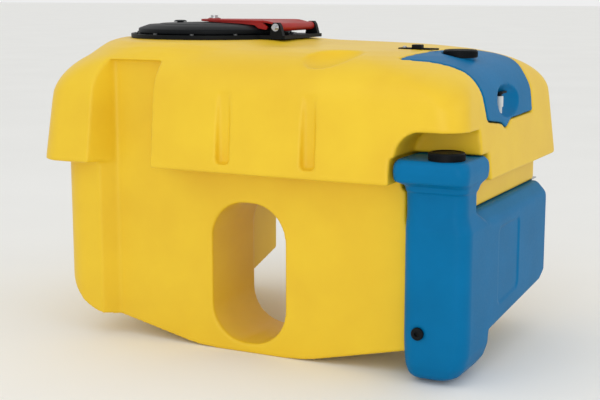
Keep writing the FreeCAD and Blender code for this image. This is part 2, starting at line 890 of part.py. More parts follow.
# Pivot bolt that the cover turns with under the arm
node(turned("lid_pivot_bolt", [
    ("0", "pivot_bolt_low"),
    ("pivot_bolt_radius", "pivot_bolt_low"),
    ("pivot_bolt_radius", "arm_high + 2"),
    ("10", "arm_high + 2"),
    ("10", "arm_high + 8"),
    ("0", "arm_high + 8"),
], ("fill_x", "0", "0")), "lid_pivot_bolt")
node(turned("lid_pivot_washer", [
    ("pivot_bolt_radius", "arm_high"),
    ("14", "arm_high"),
    ("14", "arm_high + 2"),
    ("pivot_bolt_radius", "arm_high + 2"),
], ("fill_x", "0", "0")), "lid_pivot_washer")
node(turned("lid_pivot_spacer", [
    ("pivot_bolt_radius", "cover_crown_level"),
    ("16", "cover_crown_level"),
    ("16", "arm_low"),
    ("pivot_bolt_radius", "arm_low"),
], ("fill_x", "0", "0")), "lid_pivot_spacer")


def hex_nut(name, bore, flats, low, high, at, axis="z"):
    """A six-sided nut: flats is half the distance across its flats."""
    body = doc.addObject("PartDesign::Body", name)
    sketch = new_sketch(body, name + "_outline", "XY_Plane", low)
    corner = amount(flats) / math.cos(math.pi / 6)
    half = corner / 2
    points = [
        (corner, 0), (half, amount(flats)), (-half, amount(flats)),
        (-corner, 0), (-half, -amount(flats)), (half, -amount(flats)),
    ]
    for i in range(6):
        a, b = points[i], points[(i + 1) % 6]
        sketch.addGeometry(Part.LineSegment(Vector(a[0], a[1], 0), Vector(b[0], b[1], 0)))
    for i in range(6):
        sketch.addConstraint(Sketcher.Constraint("Coincident", i, 2, (i + 1) % 6, 1))
    for i in range(5):
        sketch.addConstraint(Sketcher.Constraint("Equal", i, i + 1))
    sketch.addConstraint(Sketcher.Constraint("Horizontal", 1))
    sketch.addConstraint(Sketcher.Constraint("Symmetric", 0, 1, 3, 1, -1, 1))
    sketch.addConstraint(Sketcher.Constraint("PointOnObject", 0, 1, -1))
    bind(sketch, "DistanceY", (-1, 1, 1, 1), flats)
    circle = sketch.addGeometry(Part.Circle(Vector(0, 0, 0), Vector(0, 0, 1), amount(bore)))
    sketch.addConstraint(Sketcher.Constraint("Coincident", circle, 3, -1, 1))
    bind(sketch, "Radius", (circle,), bore)
    extrude(body, sketch, name + "_pad", high + " - " + negate(low))
    body.Placement.Rotation = TURN_TO[axis]
    place(body, at)
    return body


node(hex_nut("lid_pivot_nut", "pivot_bolt_radius", "9.5", "cover_inner_level - 10",
             "cover_inner_level", ("fill_x", "0", "0")), "lid_pivot_nut")

# ---------------------------------------------------------------- rinse tank

def rinse_form(name, skin):
    """Head, column and side wing of the rinse tank, drawn in by skin."""
    head = rounded_block(
        name + "_head", "XY_Plane",
        "rinse_head_left + " + skin, "rinse_right - " + skin,
        "rinse_head_front + " + skin, "rinse_head_back - " + skin,
        "rinse_corner - " + skin, "rinse_head_low + " + skin, "rinse_head_high - " + skin,
    )
    column = rounded_block(
        name + "_column", "XY_Plane",
        "rinse_left + " + skin, "rinse_right - " + skin,
        "rinse_front + " + skin, "rinse_column_back - " + skin,
        "rinse_corner - " + skin, "rinse_foot + " + skin, "rinse_head_low - " + skin,
    )
    throat = rounded_block(
        name + "_throat", "XY_Plane",
        "rinse_left + " + skin, "rinse_right - " + skin,
        "rinse_front + " + skin, "rinse_head_back - " + skin,
        "rinse_corner - " + skin, "rinse_head_low - 40", "rinse_head_low + 10",
    )
    wing_side = prism(name + "_wing_side", "YZ_Plane", [
        ("rinse_front + 40", "wing_low_front + " + skin),
        ("wing_back - 50", "wing_low_back + " + skin),
        ("wing_back - " + skin, "wing_low_back + 18 + " + skin),
        ("wing_back - " + skin, "wing_high - " + skin),
        ("rinse_front + 40", "wing_high - " + skin),
    ], "wing_inner + " + skin, "rinse_right - " + skin)
    wing_end = prism(name + "_wing_end", "XZ_Plane", [
        ("wing_inner", "0"),
        ("rinse_right + 10", "0"),
        ("rinse_right + 10", "wing_bevel_level - 12"),
        ("rinse_right - " + skin, "wing_bevel_level - " + skin),
        ("wing_bevel_x - " + skin, "wing_high - " + skin),
        ("wing_inner", "wing_high - " + skin),
    ], "rinse_front", "wing_back + 10")
    wing = common(name + "_wing", [wing_side, wing_end])
    return [head, column, throat, wing]


rinse_neck = turned("rinse_neck", [
    ("0", "-10"), ("neck_radius", "-10"), ("neck_radius", "neck_height"), ("0", "neck_height"),
], ("rinse_cap_x", "rinse_cap_y", "rinse_head_high"))
rinse_outer = fuse("rinse_outer", rinse_form("rinse_out", "0") + [rinse_neck])
rinse_inside = fuse("rinse_inside", rinse_form("rinse_in", "rinse_wall") + [
    rod("rinse_neck_bore", "neck_bore", "60", ("rinse_cap_x", "rinse_cap_y", "rinse_head_high - 20")),
])
drain_hole = rod(
    "rinse_drain_hole", "9.3", "20", ("drain_x + 4", "rinse_front + 10", "drain_level"), "-y",
)
bracket_end_holes = [
    rod(
        "rinse_bracket_hole_" + str(i), "screw_radius", "20",
        (x, "wing_back - 10", "bracket_screw_level"), "y",
    )
    for i, x in enumerate(BRACKET_SCREWS)
]
node(cut("rinse_tank", rinse_outer, [rinse_inside, drain_hole] + bracket_end_holes), "rinse_tank")


def screw_cap(name, at):
    """A ribbed screw cap: a cup with a flat roof, over a seal on the neck."""
    return turned(name, [
        ("0", "neck_height + cap_seal"),
        ("cap_bore", "neck_height + cap_seal"),
        ("cap_bore", "cap_skirt_gap"),
        ("cap_radius", "cap_skirt_gap"),
        ("cap_radius", "neck_height + cap_seal + cap_roof - 2"),
        ("cap_radius - 2", "neck_height + cap_seal + cap_roof"),
        ("0", "neck_height + cap_seal + cap_roof"),
    ], at)


def cap_seal_ring(name, at):
    """The flat rubber ring between a neck and its cap."""
    return turned(name, [
        ("neck_bore + 0.5", "neck_height"),
        ("neck_radius", "neck_height"),
        ("neck_radius", "neck_height + cap_seal"),
        ("neck_bore + 0.5", "neck_height + cap_seal"),
    ], at)


RINSE_NECK_AT = ("rinse_cap_x", "rinse_cap_y", "rinse_head_high")
node(screw_cap("rinse_cap", RINSE_NECK_AT), "rinse_cap")
node(cap_seal_ring("rinse_cap_seal", RINSE_NECK_AT), "rinse_cap_seal")

# Drain plug low on the rinse tank's front, with its seal
DRAIN_AT = ("drain_x + 4", "rinse_front", "drain_level")
node(turned("rinse_drain_plug", [
    ("0", "-14"),
    ("9", "-14"),
    ("9", "2"),
    ("15", "2"),
    ("15", "7"),
    ("13", "9"),
    ("6", "9"),
    ("6", "4"),
    ("0", "4"),
], DRAIN_AT, "-y"), "rinse_drain_plug")
node(turned("rinse_drain_seal", [
    ("9.4", "0"), ("14", "0"), ("14", "2"), ("9.4", "2"),
], DRAIN_AT, "-y"), "rinse_drain_seal")

# Steel angle bracket that ties the wing's back end up to the main tank
bracket_wall = block(
    "bracket_wall", ("bracket_left", "bracket_right"), ("wing_back", "wing_back + bracket_skin"),
    ("bracket_low", "wing_high + gap"),
)
bracket_shelf = block(
    "bracket_shelf", ("bracket_left", "bracket_right"), ("wing_back", "wing_back + bracket_shelf_length"),
    ("wing_high + gap - bracket_skin", "wing_high + gap"),
)
bracket_drills = [
    rod("bracket_drill_" + str(i), "screw_radius", "30", (x, "bracket_screw_y", "wing_high - 10"))
    for i, x in enumerate(BRACKET_SCREWS)
] + [
    rod(
        "bracket_end_drill_" + str(i), "screw_radius", "30",
        (x, "wing_back - 10", "bracket_screw_level"), "y",
    )
    for i, x in enumerate(BRACKET_SCREWS)
]
bracket_solid = fuse("bracket_solid", [bracket_wall, bracket_shelf])
node(cut("rinse_bracket", bracket_solid, bracket_drills), "rinse_bracket")

SCREW_SECTION = [
    ("0", "-11"), ("screw_radius", "-11"), ("screw_radius", "0"), ("screw_head_radius", "0"),
    ("screw_head_radius", "screw_head"), ("0", "screw_head"),
]
bracket_screws = []
for i, x in enumerate(BRACKET_SCREWS):
    up_screw = turned(
        "bracket_screw_up_" + str(i), SCREW_SECTION,
        (x, "bracket_screw_y", "wing_high + gap - bracket_skin"),
    )
    up_screw.Placement.Rotation = Rotation(Vector(1, 0, 0), 180)
    bracket_screws.append(up_screw)
    bracket_screws.append(turned(
        "bracket_screw_end_" + str(i), SCREW_SECTION,
        (x, "wing_back + bracket_skin", "bracket_screw_level"), "y",
    ))
node(fuse("rinse_bracket_screws", bracket_screws), "rinse_bracket_screws")

# ---------------------------------------------------------------- wash tank

TAP_POCKET = (
    ("tap_pocket_x", "hood_half_length + 10"),
    ("tap_pocket_front", "tap_pocket_back"),
    ("wash_low - 10", "tap_pocket_high"),
)


def wash_form(name, skin, inset, floor):
    """The part of the hood's form that lies in the wash pocket, drawn in by skin."""
    hood_skin = hood_form(name + "_hood", skin, "hood_level_0")
    pocket = wash_pocket(name + "_pocket", inset, floor)
    return common(name, [hood_skin, pocket])


wash_solid = wash_form("wash_solid", "0", "wash_gap", "wash_low + wash_gap")
wash_space = wash_form(
    "wash_space", "wash_wall", "wash_gap + wash_wall", "wash_low + wash_gap + wash_wall",
)
tap_pocket = block("tap_pocket", *TAP_POCKET)
tap_pocket_wall = block(
    "tap_pocket_wall",
    ("tap_pocket_x - wash_wall", "hood_half_length + 10"),
    ("tap_pocket_front - wash_wall", "tap_pocket_back + wash_wall"),
    ("wash_low - 10", "tap_pocket_high + wash_wall"),
)
WASH_NECK_AT = ("wash_cap_x", "wash_cap_y", "wash_cap_seat")
wash_seat_cut = rod("wash_seat_cut", "cap_radius + 8", "60", WASH_NECK_AT)
wash_seat_keep = rod(
    "wash_seat_keep", "cap_radius + 8 + wash_wall", "60",
    ("wash_cap_x", "wash_cap_y", "wash_cap_seat - wash_wall"),
)
wash_neck = turned("wash_neck", [
    ("0", "-2"), ("neck_radius", "-2"), ("neck_radius", "neck_height"), ("0", "neck_height"),
], WASH_NECK_AT)
wash_outer = fuse("wash_outer", [
    cut("wash_trimmed", wash_solid, [tap_pocket, wash_seat_cut]), wash_neck,
])
wash_inside = cut("wash_inside", wash_space, [tap_pocket_wall, wash_seat_keep])
wash_neck_bore = rod(
    "wash_neck_bore", "neck_bore", "60", ("wash_cap_x", "wash_cap_y", "wash_cap_seat - 20"),
)
tap_hole = rod("wash_tap_hole", "tap_shank", "30", ("tap_pocket_x - 20", "tap_y", "tap_level"), "x")
node(cut("wash_tank", wash_outer, [wash_inside, wash_neck_bore, tap_hole]), "wash_tank")
node(screw_cap("wash_cap", WASH_NECK_AT), "wash_cap")
node(cap_seal_ring("wash_cap_seal", WASH_NECK_AT), "wash_cap_seal")

# Tap: a body screwed through the pocket's wall, with a spout down and a
# quarter-turn lever on a plug from above
tap_shank = rod("tap_shank_rod", "tap_shank", "24", ("tap_pocket_x - 14", "tap_y", "tap_level"), "x")
tap_flange = rod("tap_flange_disc", "tap_flange", "5", ("tap_pocket_x + 2", "tap_y", "tap_level"), "x")
tap_barrel = rod("tap_barrel", "10", "26", ("tap_x", "tap_y", "tap_level - 13"))
tap_run = rod("tap_run", "tap_shank", "16", ("tap_pocket_x + 4", "tap_y", "tap_level"), "x")
tap_spout = rod("tap_spout", "7.5", "26", ("tap_x", "tap_y", "tap_level - 36"))
tap_solid = fuse("tap_solid", [tap_shank, tap_flange, tap_run, tap_barrel, tap_spout])
tap_way_in = rod("tap_way_in", "4.5", "34", ("tap_pocket_x - 16", "tap_y", "tap_level"), "x")
tap_way_out = rod("tap_way_out", "5", "40", ("tap_x", "tap_y", "tap_level - 38"))
tap_seat = rod("tap_plug_seat", "6.05", "30", ("tap_x", "tap_y", "tap_level - 8"))
node(cut("wash_tap_body", tap_solid, [tap_way_in, tap_way_out, tap_seat]), "wash_tap_body")
node(turned("wash_tap_seal", [
    ("8.2", "0"), ("13", "0"), ("13", "2"), ("8.2", "2"),
], ("tap_pocket_x", "tap_y", "tap_level"), "x"), "wash_tap_seal")
tap_plug = rod("tap_plug", "6", "30", ("tap_x", "tap_y", "tap_level - 7.5"))
tap_plug_port = rod(
    "tap_plug_port", "3.5", "30", ("tap_pocket_x + 5", "tap_y", "tap_level"), "x",
)
tap_plug_drop = rod("tap_plug_drop", "3.5", "9", ("tap_x", "tap_y", "tap_level - 8"))
tap_hub = rod("tap_hub", "9", "5", ("tap_x", "tap_y", "tap_level + 18"))
tap_handle = block(
    "tap_handle", ("tap_pocket_x + 15", "tap_pocket_x + 25"), ("tap_y", "tap_y + 44"),
    ("tap_level + 18", "tap_level + 23"),
)
tap_turning = fuse("tap_turning", [tap_plug, tap_hub, tap_handle])
node(cut("wash_tap_lever", tap_turning, [tap_plug_port, tap_plug_drop]), "wash_tap_lever")

# Moulded clamp on the deck whose finger holds the wash tank's inner edge down
clamp_base = block(
    "clamp_base", ("clamp_x - 24", "clamp_x + 14"), ("clamp_y - 15", "clamp_y + 15"),
    ("clamp_low", "clamp_high"),
)
clamp_finger = block(
    "clamp_finger", ("clamp_x + 4", "clamp_x + 82"), ("clamp_y - 8", "clamp_y + 8"),
    ("clamp_low", "clamp_high - 1"),
)
clamp_drill = rod("clamp_drill", "screw_radius", "40", ("clamp_x - 10", "clamp_y", "760"))
clamp_solid = fuse("clamp_solid", [clamp_base, clamp_finger])
node(cut("wash_tank_clamp", clamp_solid, [clamp_drill]), "wash_tank_clamp")
node(turned("clamp_screw", [
    ("0", "-14"), ("screw_radius", "-14"), ("screw_radius", "0"), ("screw_head_radius", "0"),
    ("screw_head_radius", "screw_head"), ("0", "screw_head"),
], ("clamp_x - 10", "clamp_y", "clamp_high")), "clamp_screw")

# ---------------------------------------------------------------- outlet

# Bulkhead outlet low in the saddle recess: flange and gasket outside the wall,
# nut inside, male thread pointing backwards
OUTLET_AT = ("outlet_x", "slab_back", "outlet_level")
node(turned("outlet_fitting", [
    ("outlet_bore", "-26"),
    ("outlet_shank", "-26"),
    ("outlet_shank", "3"),
    ("outlet_flange", "3"),
    ("outlet_flange", "13"),
    ("outlet_thread", "13"),
    ("outlet_thread", "45"),
    ("outlet_bore", "45"),
], OUTLET_AT, "y"), "outlet_fitting")
node(turned("outlet_gasket", [
    ("outlet_shank", "0"), ("outlet_flange - 1", "0"),
    ("outlet_flange - 1", "3"), ("outlet_shank", "3"),
], OUTLET_AT, "y"), "outlet_gasket")
node(hex_nut("outlet_nut", "outlet_shank", "33", "- wall - 12", "- wall", OUTLET_AT, "y"),
     "outlet_nut")

# ---------------------------------------------------------------- export

doc.recompute()
for thing in doc.Objects:
    if "Invalid" in thing.State or "Error" in thing.State:
        raise RuntimeError(thing.Name + " failed: " + str(thing.State))
for piece in nodes:
    if piece.Shape.isNull() or not piece.Shape.isValid():
        raise RuntimeError(piece.Label + " has no valid shape")

os.makedirs("parts", exist_ok=True)
for piece in nodes:
    piece.Shape.exportStep("parts/" + piece.Label + ".step")
    box = piece.Shape.BoundBox
    print(
        piece.Label, len(piece.Shape.Solids), "solids", round(piece.Shape.Volume / 1000, 1), "cm3",
        [round(v, 1) for v in (box.XMin, box.XMax, box.YMin, box.YMax, box.ZMin, box.ZMax)],
    )
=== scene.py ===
import math

import bmesh
import bpy
from mathutils import Matrix, Vector


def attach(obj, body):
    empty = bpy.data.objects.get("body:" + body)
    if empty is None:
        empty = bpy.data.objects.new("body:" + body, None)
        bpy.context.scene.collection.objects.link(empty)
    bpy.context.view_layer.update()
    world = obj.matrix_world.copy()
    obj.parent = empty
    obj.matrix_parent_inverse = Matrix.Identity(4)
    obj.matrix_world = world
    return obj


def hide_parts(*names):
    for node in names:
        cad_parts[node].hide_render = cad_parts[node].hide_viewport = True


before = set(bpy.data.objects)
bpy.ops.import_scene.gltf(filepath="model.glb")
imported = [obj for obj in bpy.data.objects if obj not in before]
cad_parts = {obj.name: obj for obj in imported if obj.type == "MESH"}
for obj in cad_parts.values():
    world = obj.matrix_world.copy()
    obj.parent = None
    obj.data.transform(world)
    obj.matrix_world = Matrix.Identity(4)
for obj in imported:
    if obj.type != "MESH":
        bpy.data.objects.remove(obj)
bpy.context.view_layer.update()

# ---------------------------------------------------------------- main tank
# The main tank is one hollow moulding of yellow polyethylene, turned in an oven
# over two axes until the powder has fused to the mould. A broad hood overhangs a
# narrower hull, and every step for frame, strap and neighbour is moulded in.


def mm(x, y, z):
    """A point given in millimetres."""
    return Vector((x, y, z)) / 1000


def linear(code):
    """An sRGB hex colour as linear RGBA."""
    channels = [int(code[i:i + 2], 16) / 255 for i in (1, 3, 5)]
    bent = [c / 12.92 if c <= 0.04045 else ((c + 0.055) / 1.055) ** 2.4 for c in channels]
    return (*bent, 1.0)


def put(tree, kind, settings=None, **links):
    """Add a node, with its settings by property or socket name and its links."""
    made = tree.nodes.new(kind)
    for key, value in (settings or {}).items():
        if hasattr(made, key):
            setattr(made, key, value)
        else:
            made.inputs[key].default_value = value
    for key, source in links.items():
        tree.links.new(source, made.inputs[key.replace("_", " ")])
    return made


def moulded_plastic(name, colour, worn, patch, grain, depth, rough, ior, shine=0.3):
    """A moulded plastic of two close tones. Patch is the size of its tone patches,
    grain that of its surface texture and depth how deep the texture is, all in
    millimetres. Shine is the specular level, kept low so that the colours stay full."""
    material = bpy.data.materials.new(name)
    material.use_nodes = True
    tree = material.node_tree
    shader = tree.nodes["Principled BSDF"]
    shader.inputs["IOR"].default_value = ior
    shader.inputs["Specular IOR Level"].default_value = shine
    place = put(tree, "ShaderNodeTexCoord").outputs["Object"]
    tone = put(tree, "ShaderNodeTexNoise", {"Scale": 1000 / patch, "Detail": 3.0}, Vector=place)
    blend = put(tree, "ShaderNodeValToRGB", Fac=tone.outputs["Fac"])
    blend.color_ramp.elements[0].position = 0.3
    blend.color_ramp.elements[0].color = linear(worn)
    blend.color_ramp.elements[1].position = 0.7
    blend.color_ramp.elements[1].color = linear(colour)
    tree.links.new(blend.outputs["Color"], shader.inputs["Base Color"])
    skin = put(tree, "ShaderNodeTexNoise", {"Scale": 1000 / grain, "Detail": 2.0}, Vector=place)
    gloss = put(tree, "ShaderNodeMapRange", {"To Min": rough - 0.06, "To Max": rough + 0.06},
                Value=skin.outputs["Fac"])
    tree.links.new(gloss.outputs["Result"], shader.inputs["Roughness"])
    bump = put(tree, "ShaderNodeBump", {"Strength": 0.6, "Distance": depth / 1000},
               Height=skin.outputs["Fac"])
    tree.links.new(bump.outputs["Normal"], shader.inputs["Normal"])
    return material


def smooth(t):
    """Ease from 0 to 1 as t does, and hold either end."""
    t = min(max(t, 0), 1)
    return t * t * (3 - 2 * t)


CORNERS = ((1, 1), (-1, 1), (-1, -1), (1, -1))


def rectangle_places(corner_steps, side_steps):
    """Where the points of a rounded rectangle sit: the side signs of the centre that
    each turns about, and its direction from there."""
    places = []
    for turn, (x, y) in enumerate(CORNERS):
        for step in range(corner_steps + 1):
            angle = math.radians(90 * (turn + step / corner_steps))
            places.append((x, y, math.cos(angle), math.sin(angle)))
        next_x, next_y = CORNERS[(turn + 1) % 4]
        for step in range(1, side_steps):
            t = step / side_steps
            middle = (x + (next_x - x) * t, y + (next_y - y) * t)
            places.append((*middle, math.cos(angle), math.sin(angle)))
    return places


def rounded_stack(levels, corner_steps=14, side_steps=12):
    """A closed stack of rounded rectangles. Each level is (left, right, front, back,
    height, corner radius) in millimetres, and each is extruded from the one below."""
    places = rectangle_places(corner_steps, side_steps)
    bm = bmesh.new()
    order = bm.verts.layers.int.new("order")
    ring = bmesh.ops.create_circle(bm, cap_ends=True, segments=len(places), radius=1)["verts"]
    for number, vert in enumerate(ring):
        vert[order] = number
    face = ring[0].link_faces[0]
    for count, (left, right, front, back, height, radius) in enumerate(levels):
        if count:
            made = bmesh.ops.extrude_face_region(bm, geom=[face, *face.edges, *face.verts])["geom"]
            face = next(part for part in made if isinstance(part, bmesh.types.BMFace))
            ring = list(face.verts)
        half_x, half_y = (right - left) / 2, (back - front) / 2
        radius = min(radius, half_x * 0.98, half_y * 0.98)
        for vert in ring:
            x, y, turn_x, turn_y = places[vert[order]]
            vert.co = mm(
                (left + right) / 2 + x * (half_x - radius) + turn_x * radius,
                (front + back) / 2 + y * (half_y - radius) + turn_y * radius,
                height,
            )
    bmesh.ops.recalc_face_normals(bm, faces=bm.faces)
    return bm


def slab(axis, corners, start, end, radius=0, segments=6):
    """A straight-sided block: an outline across the axis, from start to end along it,
    with the edges that run along the axis rounded."""
    bm = bmesh.new()
    put_at = {
        "X": lambda u, v, w: mm(w, u, v),
        "Y": lambda u, v, w: mm(u, w, v),
        "Z": lambda u, v, w: mm(u, v, w),
    }[axis]
    face = bm.faces.new([bm.verts.new(put_at(u, v, start)) for u, v in corners])
    made = bmesh.ops.extrude_face_region(bm, geom=[face])["geom"]
    moved = [part for part in made if isinstance(part, bmesh.types.BMVert)]
    bmesh.ops.translate(bm, verts=moved, vec=put_at(0, 0, end - start))
    bmesh.ops.recalc_face_normals(bm, faces=bm.faces)
    if radius:
        step = put_at(0, 0, 1).normalized()
        along = [
            edge for edge in bm.edges
            if abs((edge.verts[1].co - edge.verts[0].co).normalized().dot(step)) > 0.99
        ]
        bmesh.ops.bevel(
            bm, geom=along, offset=radius / 1000, offset_type="OFFSET", affect="EDGES",
            segments=segments, profile=0.5, material=-1,
        )
    return bm


def box_corners(low_u, high_u, low_v, high_v):
    """The corners of an upright rectangle, for a slab's outline."""
    return [(low_u, low_v), (high_u, low_v), (high_u, high_v), (low_u, high_v)]


def drum(x, y, low, high, low_radius, high_radius=None, segments=96):
    """A round block standing on Z."""
    bm = bmesh.new()
    bmesh.ops.create_cone(
        bm, cap_ends=True, segments=segments, radius1=low_radius / 1000,
        radius2=(high_radius or low_radius) / 1000, depth=(high - low) / 1000,
    )
    bmesh.ops.translate(bm, verts=bm.verts, vec=mm(x, y, (low + high) / 2))
    return bm


def scoop(centre, radii, turn=0.0, tilt=0.0):
    """An egg-shaped cutter: its centre, its three radii and how it is turned."""
    bm = bmesh.new()
    bmesh.ops.create_uvsphere(bm, u_segments=48, v_segments=24, radius=0.001)
    bmesh.ops.scale(bm, verts=bm.verts, vec=radii)
    aim = Matrix.Rotation(math.radians(turn), 4, "Z") @ Matrix.Rotation(math.radians(tilt), 4, "X")
    bmesh.ops.transform(bm, verts=bm.verts, matrix=aim)
    bmesh.ops.translate(bm, verts=bm.verts, vec=mm(*centre))
    return bm


def loose(bm, name="cutter"):
    """An object of the bmesh that isn't yet part of the scene's pieces."""
    mesh = bpy.data.meshes.new(name)
    bm.to_mesh(mesh)
    bm.free()
    made = bpy.data.objects.new(name, mesh)
    bpy.context.collection.objects.link(made)
    return made


def settle(piece):
    """Apply the piece's modifiers to its mesh."""
    graph = bpy.context.evaluated_depsgraph_get()
    mesh = bpy.data.meshes.new_from_object(piece.evaluated_get(graph))
    piece.modifiers.clear()
    piece.data = mesh


def carve(base, steps):
    """Apply booleans in order. Each step is an operation and the bmesh that it uses."""
    tools = []
    for operation, shape in steps:
        tool = loose(shape)
        tools.append(tool)
        step = base.modifiers.new(operation, "BOOLEAN")
        step.operation = operation
        step.solver = "MANIFOLD"
        step.object = tool
    settle(base)
    for tool in tools:
        mesh = tool.data
        bpy.data.objects.remove(tool)
        bpy.data.meshes.remove(mesh)


def fuse_skin(piece, grid, rounds, most_triangles):
    """Give a carved piece one even skin with soft edges, as a moulding has: a grid
    in millimetres, rounds of smoothing, then fewer triangles where there are many."""
    voxels = piece.modifiers.new("skin", "REMESH")
    voxels.mode = "VOXEL"
    voxels.voxel_size = grid / 1000
    ease = piece.modifiers.new("ease", "SMOOTH")
    ease.factor = 0.5
    ease.iterations = rounds
    settle(piece)
    triangles = sum(len(face.vertices) - 2 for face in piece.data.polygons)
    if triangles > most_triangles:
        fewer = piece.modifiers.new("fewer", "DECIMATE")
        fewer.ratio = most_triangles / triangles
        settle(piece)


def seat_piece(piece, name, material, body, nodes=(), sharp=None):
    """Name a piece, shade it, and put it on its body in place of its CAD nodes."""
    piece.name = name
    piece.data.name = name
    piece.data.materials.clear()
    piece.data.materials.append(material)
    piece.data.polygons.foreach_set("use_smooth", [True] * len(piece.data.polygons))
    piece.data.polygons.foreach_set("material_index", [0] * len(piece.data.polygons))
    if sharp:
        piece.data.set_sharp_from_angle(angle=math.radians(sharp))
    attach(piece, body)
    if nodes:
        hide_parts(*nodes)


RIM, SHOULDER_LOW, SHOULDER_RISE, DECK = 469, 640, 130, 770
HOOD_X, HOOD_Y, HOOD_CORNER, HOOD_DRAFT = 590, 399, 65, 0.1
SHOULDER_REACH = (100, 200, 165, 150)  # left, right, front, back
SHOULDER_POWER = 2.3  # of the shoulder's superellipse; 2 would be a quarter ellipse
FILL_X, SEAT = -278, 780


def hood_level(height):
    """The hood's outline at a height: upright with a little draft up to the
    shoulder, then turned in further and further."""
    rise = min(max((height - SHOULDER_LOW) / SHOULDER_RISE, 0), 1)
    turn = 1 - (1 - rise ** SHOULDER_POWER) ** (1 / SHOULDER_POWER)
    draft = HOOD_DRAFT * (height - RIM)
    left, right, front, back = (draft + reach * turn for reach in SHOULDER_REACH)
    radius = HOOD_CORNER + 190 * turn ** 0.62
    return (-HOOD_X + left, HOOD_X - right, -HOOD_Y + front, HOOD_Y - back, height, radius)


def faired(x, y, z):
    """The height of a hood point once the deck falls away to the right and the
    shoulder rises to the lid's seat."""
    if z <= SHOULDER_LOW:
        return z
    slope = min(max((x + 50) / 500, 0), 1)
    z = SHOULDER_LOW + (z - SHOULDER_LOW) * (1 - 0.08 * slope)
    seat_edge, blend_end = 240, 350
    reach = smooth((blend_end - math.hypot(x - FILL_X, y)) / (blend_end - seat_edge))
    return z + (SEAT - z) * reach * smooth((z - 700) / 50)


def hood_form():
    """The hood as a closed form: its sides, its shoulder, then the deck in rings that
    shrink to the middle, so that the deck has points to fair."""
    shoulder = [SHOULDER_LOW + SHOULDER_RISE * step / 16 for step in range(1, 16)]
    heights = [RIM, 520, 560, 600, 625, *shoulder, 768.5, 769.6, DECK]
    levels = [hood_level(height) for height in heights]
    left, right, front, back, height, radius = levels[-1]
    middle_x, middle_y = (left + right) / 2, (front + back) / 2
    for share in [1 - step / 14 for step in range(1, 14)]:
        levels.append((
            middle_x + (left - middle_x) * share, middle_x + (right - middle_x) * share,
            middle_y + (front - middle_y) * share, middle_y + (back - middle_y) * share,
            height, radius * share,
        ))
    bm = rounded_stack(levels)
    for vert in bm.verts:
        vert.co.z = faired(*(vert.co * 1000)) / 1000
    return bm


HULL_X, HULL_FRONT, HULL_BACK = 550, -353, 345
PANEL, SADDLE_FRONT, COLUMN_BACK, WING_TOP = -313, -86, -160, 402
tank = loose(slab(
    "Z", box_corners(-HULL_X, HULL_X, HULL_FRONT, HULL_BACK), -20, RIM + 20, 75, 10,
))
hull_front_view = [
    (-146, 0), (146, 0), (470, 73), (HULL_X, 160), (HULL_X, 520), (-HULL_X, 520),
    (-HULL_X, 160), (-470, 73),
]
hull_side_view = [(-420, 0), (SADDLE_FRONT, 0), (420, 145), (420, 520), (-420, 520)]
wash_plan = [
    (372, -262), (408, -247), (446, -229), (500, -221), (560, -218), (620, -216), (620, 206),
    (462, 200), (404, 110), (386, -60),
]


def grown(corners, by):
    """The hand-wash tank's outline with every point moved out from its middle."""
    middle = Vector((500, -40))
    return [tuple(Vector(p) + (Vector(p) - middle).normalized() * by) for p in corners]


def wash_pocket(gap):
    """The blocks whose common space is the hand-wash tank's pocket: from above, from
    the front, and from the side with the drip lip in its floor. With a gap they
    leave the tank itself, that much smaller."""
    return [
        slab("Z", grown(wash_plan, -gap), 500, 830, 16),
        slab("Y", [(450 + gap, 565), (640, 565), (640, 830), (340, 830), (340, 716 + gap),
                   (400 + gap, 700 + gap)], -420, 420, 30),
        slab("X", [(162 - gap, 598 + gap), (164 - gap, 690), (210, 742), (210, 830), (-330, 830),
                   (-330, 704), (-226 + gap, 664), (-212 + gap, 634), (-202 + gap, 605 + gap),
                   (-98, 592 + gap), (-66, 576 + gap), (-22, 596 + gap)], 300, 660, 7),
    ]


def common(shapes):
    """The space that all of the shapes share."""
    whole = loose(shapes[0])
    carve(whole, [("INTERSECT", shape) for shape in shapes[1:]])
    bm = bmesh.new()
    bm.from_mesh(whole.data)
    bpy.data.objects.remove(whole)
    return bm


